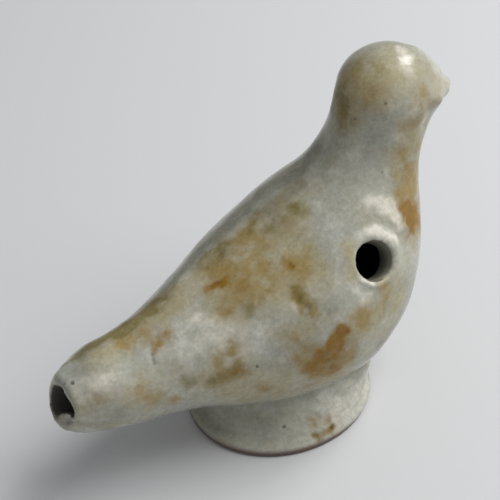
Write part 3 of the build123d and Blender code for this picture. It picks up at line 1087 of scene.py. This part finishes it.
@dataclass
class ClaySkin:
    """The glazed skin of tail, bowls, neck, head and beak, made whole and then cut at the joints."""

    grain: float = 0.42 * MM
    relax: int = 18
    beak_relax: int = 150
    beak_blend: float = 5.4 * MM
    beak_inset: float = 1 * MM
    keep_most: float = 0.85
    mouth_keep: float = 0.6
    mouth_fade: Span = (3 * MM, 1 * MM)
    hand_size: float = 15 * MM
    hand_depth: float = 0.45 * MM
    ripple_size: float = 5.5 * MM
    ripple_depth: float = 0.2 * MM
    press_facing: Span = (-0.1, 0.3)
    # Painted shade eases in where normals face inward, into the hollows
    hollow_shade_facing: Span = (0.1, -0.35)
    tail_bare: float = 0.15
    tail_bare_fade: Span = (1.6 * MM, 0.4 * MM)
    neck_slope: tuple[float, float, float] = (-0.45, 0, -0.9)
    nodes: tuple[str, ...] = ("tail_tube", "lower_bowl", "upper_bowl", "neck_collar", "head", "beak")
    hollows: tuple[str, ...] = ("mouth_socket", "chamber_tail", "chamber_body", "chamber_neck")
    hole: FingerHole = field(default_factory=FingerHole)
    skin: bpy.types.Object = field(init=False)

    def __post_init__(self) -> None:
        """Reads the tail's end and the line through the hollows from the frame."""
        boxes = [opening_box(name) for name in self.hollows]
        self.line = [np.array((low + high) / 2) for low, high in (*boxes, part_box("head"))]
        self.tail_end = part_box("tail_tube")[0].x

    def build(self) -> None:
        """Joins copies of the nodes into one skin, softens it and gives it its hand-made relief."""
        mouth = TailMouth()
        copies = [node_copy(node, "skin_" + node) for node in self.nodes]
        pick(*copies, mouth.plug())
        bpy.ops.object.join()
        self.skin = bpy.context.view_layer.objects.active
        self.skin.name = "clay_skin"
        apply_modifier(self.skin, "REMESH", mode="VOXEL", voxel_size=self.grain)
        wedge = mouth.cutter()
        apply_modifier(self.skin, "BOOLEAN", operation="DIFFERENCE", object=wedge, solver="EXACT")
        bpy.data.objects.remove(wedge)
        apply_modifier(self.skin, "REMESH", mode="VOXEL", voxel_size=self.grain)
        self.soften()
        press_unevenly(self.skin, "hand_pressure", self.hand_size, self.hand_depth)
        press_unevenly(self.skin, "finger_ripple", self.ripple_size, self.ripple_depth)

    def soften(self) -> None:
        """Smooths the skin, less at the rims and more at the root of the beak."""
        places, _ = places_and_normals(self.skin)
        mouth = self.mouth_keep * self.near_tail_end(self.mouth_fade, places)
        weigh(self.skin, "soft", 1 - self.keep_most * np.maximum(self.hole.near_rim(places), mouth))
        low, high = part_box("beak")
        root = np.array((low.x + self.beak_inset, 0, (low.z + high.z) / 2))
        near_beak = np.exp(-((np.linalg.norm(places - root, axis=1) / self.beak_blend) ** 4))
        weigh(self.skin, "beak_root", near_beak)
        for group, rounds in (("soft", self.relax), ("beak_root", self.beak_relax)):
            apply_modifier(self.skin, "SMOOTH", factor=SMOOTHING, iterations=rounds, vertex_group=group)

    def near_tail_end(self, fade: Span, places: np.ndarray) -> np.ndarray:
        """Finds how near places lie to the tail's end, from 0 at the fade's first gap to 1 at its second."""
        return smooth_step(self.tail_end + fade[0], self.tail_end + fade[1], places[:, 0])

    def outward(self, places: np.ndarray, normals: np.ndarray) -> np.ndarray:
        """Says how much normals point away from the line through the hollows.

        Args:
            places: The places, one row each.
            normals: Their normals.

        Returns:
            Amounts from -1 for inward to 1 for outward.
        """
        best = np.full(len(places), np.inf)
        facing = np.zeros(len(places))
        for start, end in zip(self.line, self.line[1:]):
            run = end - start
            share = np.clip((places - start) @ run / (run @ run), 0, 1)
            away = places - start - share[:, None] * run
            gap = np.linalg.norm(away, axis=1)
            nearer = gap < best
            best[nearer] = gap[nearer]
            facing[nearer] = (away * normals).sum(1)[nearer] / np.maximum(gap[nearer], LEAST_GAP)
        return facing

    def shape_by_hand(self, view: PhotoView, surface: BVHTree) -> None:
        """Shapes the finger hole, presses the dents in and keeps the whole skin's normals.

        Args:
            view: The picture's camera.
            surface: The clay's surface, on which the presses are placed.
        """
        places, normals = places_and_normals(self.skin)
        moved = self.hole.shape(view, places, normals)
        facing = smooth_step(*self.press_facing, self.outward(places, normals))
        for press in PRESSES:
            spread = np.exp(-(press.gaps(view, surface, places) ** 2))
            moved -= normals * (spread * facing * press.strength * MM)[:, None]
        set_places(self.skin, moved)
        _, normals = places_and_normals(self.skin)
        layer = self.skin.data.attributes.new(WHOLE_NORMAL, "FLOAT_VECTOR", "POINT")
        layer.data.foreach_set("vector", normals.astype(np.float32).ravel())

    def beak_joint(self) -> Joint:
        """Finds the plane through the rim where the beak meets the head.

        Returns:
            The joint, facing the beak's tip.
        """
        middle = Vector(self.line[-1])
        corners = [vertex.co.copy() for vertex in frame["nodes"]["beak"].data.vertices]
        tip = max(corners, key=lambda corner: (corner - middle).length)
        reach = (tip - middle).normalized()
        rim = max(corners, key=lambda corner: (corner - middle).cross(reach).length)
        return Joint(rim, reach)

    def cut(self) -> dict[str, bpy.types.Object]:
        """Cuts the skin at the joints into one closed piece for each node.

        Returns:
            The pieces by the name of the node that each stands for.
        """
        tail = flat_end("tail_tube", Vector((1, 0, 0)))
        neck = flat_end("neck_collar", Vector(self.neck_slope))
        head = flat_end("head", Vector(self.neck_slope))
        seam = Joint(Vector((0, 0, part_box("lower_bowl")[1].z)), Vector((0, 0, 1)))
        beak = self.beak_joint()
        plan = {
            "tail_tube": [tail.turned()],
            "lower_bowl": [tail, neck, seam.turned()],
            "upper_bowl": [tail, neck, seam],
            "neck_collar": [neck.turned(), head],
            "head": [head.turned(), beak.turned()],
            "beak": [head.turned(), beak],
        }
        return {node: self.slice(node, sides) for node, sides in plan.items()}

    def slice(self, node: str, sides: list[Joint]) -> bpy.types.Object:
        """Copies the skin and keeps only what lies ahead of each joint.

        Args:
            node: Name of the node that the piece stands for.
            sides: Joints, each pointing to the side that is kept.

        Returns:
            The closed piece.
        """
        piece = new_object("glazed_" + node, self.skin.data.copy())
        for side in sides:
            edit_all(piece)
            plane = {"plane_co": side.point, "plane_no": side.direction}
            bpy.ops.mesh.bisect(**plane, use_fill=True, clear_inner=True, threshold=CUT_GAP)
        bpy.ops.object.mode_set(mode="OBJECT")
        self.keep_normals(piece, sides)
        return piece

    def keep_normals(self, piece: bpy.types.Object, sides: list[Joint]) -> None:
        """Shades a piece with the whole skin's normals, so that no line shows at its joints.

        Args:
            piece: The piece.
            sides: Joints that closed it with flat caps, which keep their own normals.
        """
        mesh = piece.data
        whole = np.empty(len(mesh.vertices) * 3, np.float32)
        mesh.attributes[WHOLE_NORMAL].data.foreach_get("vector", whole)
        whole = whole.reshape(-1, 3)
        whole /= np.maximum(np.linalg.norm(whole, axis=1), LEAST_NORMAL)[:, None]
        corner_vertices = np.empty(len(mesh.loops), np.int32)
        mesh.loops.foreach_get("vertex_index", corner_vertices)
        corners = whole[corner_vertices]
        for face in mesh.polygons:
            if any(abs((face.center - side.point).dot(side.direction)) < CAP_GAP for side in sides):
                if any(face.normal.dot(side.direction) < CAP_FACING for side in sides):
                    corners[list(face.loop_indices)] = 0
        mesh.attributes.remove(mesh.attributes[WHOLE_NORMAL])
        pick(piece)
        bpy.ops.object.shade_smooth()
        mesh.normals_split_custom_set(corners.tolist())

    def bare_and_shade_amounts(self, piece: bpy.types.Object) -> tuple[np.ndarray, np.ndarray]:
        """Finds how bare each vertex of a piece is, and how much painted shade it gets deep in a hollow.

        Args:
            piece: A piece of the skin.

        Returns:
            The two amounts, from 0 to 1.
        """
        places, normals = places_and_normals(piece)
        hollow_shade = smooth_step(*self.hollow_shade_facing, self.outward(places, normals))
        hollow_shade = self.hole.darken(places, hollow_shade)
        return self.tail_bare * self.near_tail_end(self.tail_bare_fade, places) * (1 - hollow_shade), hollow_shade


@dataclass
class FootRing:
    """The flared foot ring with its turned lines and its bare standing edge, darkened with painted contact
    shadow.
    """

    grain: float = 0.36 * MM
    relax: int = 40
    base_fade: Span = (0.3 * MM, 2.5 * MM)
    hand_size: float = 12 * MM
    hand_depth: float = 0.45 * MM
    # The band of bare clay at the standing edge is also painted contact shadow, and thins toward the front
    bare_and_shade_height: float = 1.35 * MM
    bare_and_shade_fade: Span = (1.4, 0.6)
    bare_and_shade_thinning: float = 0.92
    thinning_fade: Span = (-0.2, 0.8)
    grooves: tuple[float, ...] = (2.4 * MM, 3.6 * MM)
    groove_width: float = 0.45 * MM
    groove_depth: float = 0.16 * MM
    wall_facing: Span = (0.2, 0.7)
    press_in: float = 1.0 * MM
    press_reach: float = 1.6 * MM
    press_full: float = 0.3
    fillet: float = 3.0 * MM
    crease: float = 60.0

    def __post_init__(self) -> None:
        """Reads the ring's front end from the frame."""
        self.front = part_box("foot_ring")[1].x

    def build(self) -> bpy.types.Object:
        """Builds the foot ring from its solid, softened and made uneven above its base.

        Returns:
            The foot ring.
        """
        piece = node_copy("foot_ring", "glazed_foot_ring")
        apply_modifier(piece, "REMESH", mode="VOXEL", voxel_size=self.grain)
        places, _ = places_and_normals(piece)
        group = "above_base"
        weigh(piece, group, smooth_step(*self.base_fade, places[:, 2]))
        apply_modifier(piece, "SMOOTH", factor=SMOOTHING, iterations=self.relax, vertex_group=group)
        press_unevenly(piece, "foot_pressure", self.hand_size, self.hand_depth, group)
        self.turn_grooves(piece)
        return piece

    def turn_grooves(self, piece: bpy.types.Object) -> None:
        """Sinks the faint turned lines into the ring's outer wall.

        Args:
            piece: The foot ring.
        """
        places, normals = places_and_normals(piece)
        outside = smooth_step(*self.wall_facing, (normals[:, :2] * places[:, :2]).sum(1) / self.front)
        for height in self.grooves:
            sunk = np.exp(-(((places[:, 2] - height) / self.groove_width) ** 2))
            places -= normals * (sunk * outside * self.groove_depth)[:, None]
        set_places(piece, places)

    def press_to(self, piece: bpy.types.Object, belly: bpy.types.Object) -> None:
        """Presses the ring's top into the belly so that no gap shows.

        Args:
            piece: The foot ring.
            belly: The skin that it carries.
        """
        surface = joined_surface(belly)
        places, normals = places_and_normals(piece)
        outward = normals[:, :2] * places[:, :2]
        for index, place in enumerate(places.copy()):
            spot, normal, _, gap = surface.find_nearest(Vector(place), self.fillet)
            if spot is None:
                continue
            if outward[index].sum() > 0:
                places[index] += normals[index] * (self.fillet - gap) ** 2 / (2 * self.fillet)
            share = float(smooth_step(self.press_reach, self.press_full * self.press_reach, np.array(gap)))
            places[index] -= np.array(normal) * self.press_in * share
        set_places(piece, places)
        pick(piece)
        bpy.ops.object.shade_smooth_by_angle(angle=math.radians(self.crease))

    def bare_and_shade_amounts(self, piece: bpy.types.Object) -> tuple[np.ndarray, np.ndarray]:
        """Finds how bare each vertex is, on a standing edge of bare clay and painted contact shadow that
        thins toward the front.

        Args:
            piece: The foot ring.

        Returns:
            The bareness with its painted contact shadow, from 0 to 1, and no painted shade of hollows.
        """
        places, _ = places_and_normals(piece)
        ahead = smooth_step(*self.thinning_fade, places[:, 0] / self.front)
        height = self.bare_and_shade_height * (1 - self.bare_and_shade_thinning * ahead)
        return smooth_step(*self.bare_and_shade_fade, places[:, 2] / height), np.zeros(len(places))


@dataclass(frozen=True)
class WindwayBlock:
    """The clay plug in the tail's bore, which shows as its own solid."""

    node: str = "windway_block"

    def dress(self, clay: bpy.types.Material) -> None:
        """Gives the solid its bare clay.

        Args:
            clay: The bare clay's material.
        """
        block = frame["nodes"][self.node]
        block.data.materials.clear()
        block.data.materials.append(clay)
        log.info("%s: dressed in bare clay", self.node)


@dataclass
class GlazePainter:
    """Paints stains, specks, bare edges, painted contact shadow, painted highlights and painted shade along
    ridges and in hollows on the pieces as attributes.
    """

    view: PhotoView
    surface: BVHTree
    runs: tuple[tuple[float, float], ...] = ((5 * MM, 0.7 * MM), (1.8 * MM, 0.6 * MM))
    seed: int = 3
    speck_edge: Span = (1.2, 0.6)

    def dress(
        self, piece: bpy.types.Object, maker: ClaySkin | FootRing, glaze: bpy.types.Material
    ) -> None:
        """Paints one piece and gives it the glaze.

        Args:
            piece: The piece.
            maker: The sub-assembly that built it.
            glaze: The glaze's material.
        """
        places, _ = places_and_normals(piece)
        drifted = places + self.drift(places)
        for kind, marks in MARKS.items():
            crisp = kind is MarkKind.SPECK
            amount = np.zeros(len(places))
            for mark in marks:
                gaps = mark.gaps(self.view, self.surface, places if crisp else drifted)
                spread = smooth_step(*self.speck_edge, gaps) if crisp else np.exp(-(gaps**2))
                amount = np.maximum(amount, mark.strength * spread)
            paint(piece, kind.value, amount)
        # Bare clay with painted contact shadow, and painted shade inside the hollows
        bare_and_shade, hollow_shade = maker.bare_and_shade_amounts(piece)
        paint(piece, BARE_AND_SHADE, bare_and_shade)
        paint(piece, HOLLOW_SHADE, hollow_shade)
        piece.data.materials.clear()
        piece.data.materials.append(glaze)

    def drift(self, places: np.ndarray) -> np.ndarray:
        """Works out how far the glaze ran, so that stains get ragged outlines.

        Args:
            places: The places, one row each.

        Returns:
            The move at each place.
        """
        noise.seed_set(self.seed)
        moves = np.zeros_like(places)
        for size, reach in self.runs:
            moves += [np.array(noise.noise_vector(Vector(place) / size)) * reach for place in places]
        return moves


@dataclass(frozen=True)
class SoftLamp:
    """A square lamp that looks at the origin from a direction."""

    name: str
    direction: tuple[float, float, float]
    distance: float
    side: float
    power: float
    mirrored: bool = True

    def hang(self) -> None:
        """Hangs the lamp in the scene."""
        data = bpy.data.lights.new(self.name, "AREA")
        data.size = self.side
        data.energy = self.power
        lamp = new_object(self.name, data)
        toward = Vector(self.direction).normalized()
        lamp.location = toward * self.distance
        lamp.visible_glossy = self.mirrored
        lamp.rotation_euler = toward.to_track_quat("Z", "Y").to_euler()


@dataclass
class Studio:
    """Plain pale floor, soft light from the bird's front and above, and the camera."""

    view: PhotoView
    floor_side: float = 4.0
    sky_colour: Colour = (241, 242, 244)
    sky_strength: float = 0.33
    lamps: tuple[SoftLamp, ...] = (
        SoftLamp("overhead", (0.5, -0.34, 0.8), 0.75, 0.5, 3.8, mirrored=False),
        SoftLamp("window", (0.68, 0.04, 0.73), 0.6, 0.16, 1.0),
    )

    def build(self) -> None:
        """Builds floor, sky, lamps and camera."""
        bpy.context.scene.view_settings.view_transform = "Standard"
        self.make_floor()
        self.make_sky()
        for lamp in self.lamps:
            lamp.hang()
        self.view.make_camera()

    def make_floor(self) -> None:
        """Lays the floor that the foot stands on."""
        bpy.ops.object.select_all(action="DESELECT")
        bpy.ops.mesh.primitive_plane_add(size=self.floor_side, location=(0, 0, 0))
        floor = bpy.context.object
        floor.name = "floor"
        floor.data.materials.append(FloorFinish().make())

    def make_sky(self) -> None:
        """Sets the even light from all around."""
        world = bpy.data.worlds.new("soft_sky")
        world.use_nodes = True
        background = world.node_tree.nodes["Background"]
        background.inputs["Color"].default_value = shader_colour(self.sky_colour)
        background.inputs["Strength"].default_value = self.sky_strength
        bpy.context.scene.world = world


def finish_piece(piece: bpy.types.Object, node: str) -> None:
    """Lets a piece ride the body and stand for its node.

    Args:
        piece: The piece.
        node: The CAD node that it stands for.
    """
    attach(piece, BODY)
    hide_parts(node)
    log.info("%s: %d faces", piece.name, len(piece.data.polygons))


def main() -> None:
    """Builds the bird call's pieces in order, dresses them and sets the studio up."""
    logging.basicConfig(level=logging.INFO, format="%(name)s: %(message)s")
    view = PhotoView()
    skin = ClaySkin()
    skin.build()
    foot = FootRing()
    ring = foot.build()
    surface = joined_surface(skin.skin, ring)
    skin.shape_by_hand(view, surface)
    foot.press_to(ring, skin.skin)
    pieces = {**skin.cut(), "foot_ring": ring}
    bpy.data.objects.remove(skin.skin)
    glaze = GlazeFinish().make()
    painter = GlazePainter(view, surface)
    for node, piece in pieces.items():
        painter.dress(piece, foot if piece is ring else skin, glaze)
        finish_piece(piece, node)
    WindwayBlock().dress(BareClayFinish().make())
    Studio(view).build()


if __name__ == "__main__":
    main()
